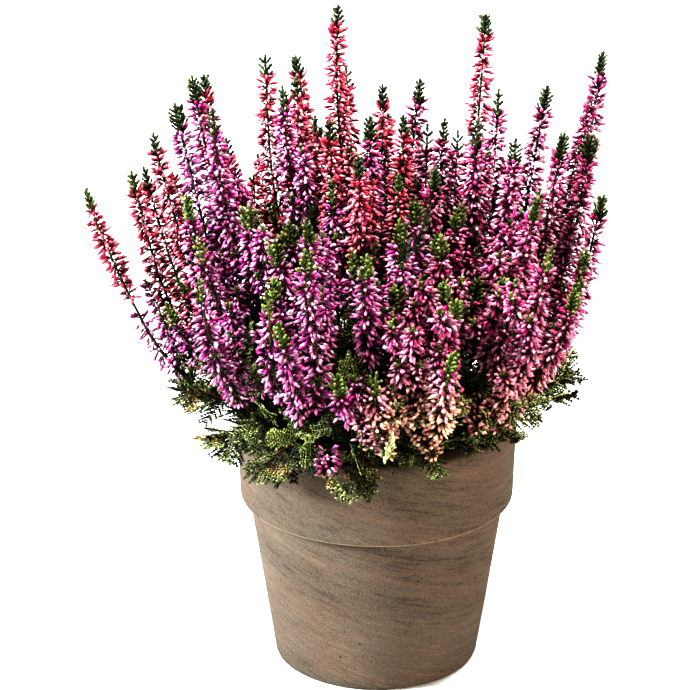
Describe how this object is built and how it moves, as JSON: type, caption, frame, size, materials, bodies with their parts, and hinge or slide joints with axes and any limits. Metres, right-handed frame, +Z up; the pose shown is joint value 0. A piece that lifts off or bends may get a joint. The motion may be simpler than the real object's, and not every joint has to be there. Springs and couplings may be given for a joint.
{
  "type": "potted heather",
  "caption": "Young heather plants with red, purple and pink bud spikes, grown together in a banded clay pot that stands on its flat base.",
  "frame": {"origin": "middle of the whole potted plant's plan, on the surface that it stands on", "axes": "+Z up; the pictured side faces -Y; +X to the right of it"},
  "size_m": [0.2566, 0.1996, 0.333],
  "materials": {
    "clay": "matte",
    "soil": "matte",
    "red_heather": "satin",
    "purple_heather": "satin",
    "pink_heather": "satin",
    "foliage": "matte"
  },
  "bodies": {
    "root": {"pot": "clay", "soil": "soil", "red_spray_01": "red_heather", "red_spray_02": "red_heather", "purple_spray_03": "purple_heather", "purple_spray_04": "purple_heather", "pink_spray_05": "pink_heather", "purple_spray_06": "purple_heather", "pink_spray_07": "pink_heather", "pink_spray_08": "pink_heather", "pink_spray_09": "pink_heather", "purple_spray_10": "purple_heather", "pink_spray_11": "pink_heather", "pink_spray_12": "pink_heather", "purple_spray_13": "purple_heather", "pink_spray_14": "pink_heather", "red_spray_15": "red_heather", "purple_spray_16": "purple_heather", "red_spray_17": "red_heather", "red_spray_18": "red_heather", "pink_spray_19": "pink_heather", "purple_spray_20": "purple_heather", "purple_spray_21": "purple_heather", "pink_spray_22": "pink_heather", "pink_spray_23": "pink_heather", "purple_spray_24": "purple_heather", "pink_spray_25": "pink_heather", "red_spray_26": "red_heather", "pink_spray_27": "pink_heather", "red_spray_28": "red_heather", "red_spray_29": "red_heather", "pink_spray_30": "pink_heather", "purple_spray_31": "purple_heather", "purple_spray_32": "purple_heather", "red_spray_33": "red_heather", "pink_spray_34": "pink_heather", "pink_spray_35": "pink_heather", "purple_spray_36": "purple_heather", "red_spray_37": "red_heather", "red_spray_38": "red_heather", "purple_spray_39": "purple_heather", "pink_spray_40": "pink_heather", "red_spray_41": "red_heather", "leafy_spray_01": "foliage", "leafy_spray_02": "foliage", "leafy_spray_03": "foliage", "leafy_spray_04": "foliage", "leafy_spray_05": "foliage", "leafy_spray_06": "foliage", "leafy_spray_07": "foliage", "leafy_spray_08": "foliage", "leafy_spray_09": "foliage", "leafy_spray_10": "foliage", "leafy_spray_11": "foliage", "leafy_spray_12": "foliage", "leafy_spray_13": "foliage", "leafy_spray_14": "foliage", "leafy_spray_15": "foliage", "leafy_spray_16": "foliage", "leafy_spray_17": "foliage"}
  },
  "joints": []
}
